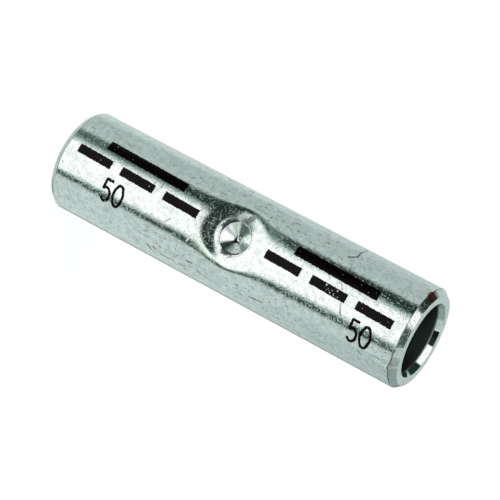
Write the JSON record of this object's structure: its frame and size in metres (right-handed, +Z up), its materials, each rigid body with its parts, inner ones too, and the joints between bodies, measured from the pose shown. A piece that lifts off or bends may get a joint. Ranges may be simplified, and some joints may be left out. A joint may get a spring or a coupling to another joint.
{
  "type": "compression butt connector",
  "caption": "Tinned copper compression butt connector: a short tube with a punched centre stop, which joins two conductors end to end once it is crimped.",
  "frame": {"origin": "centre of the lower end, on the axis of the bore", "axes": "+Z up the bore, -Y out of the punched stop"},
  "size_m": [0.0144, 0.0144, 0.056],
  "materials": {
    "tinned_copper": "satin",
    "print_ink": "matte"
  },
  "bodies": {
    "root": {"sleeve": "tinned_copper"}
  },
  "joints": []
}
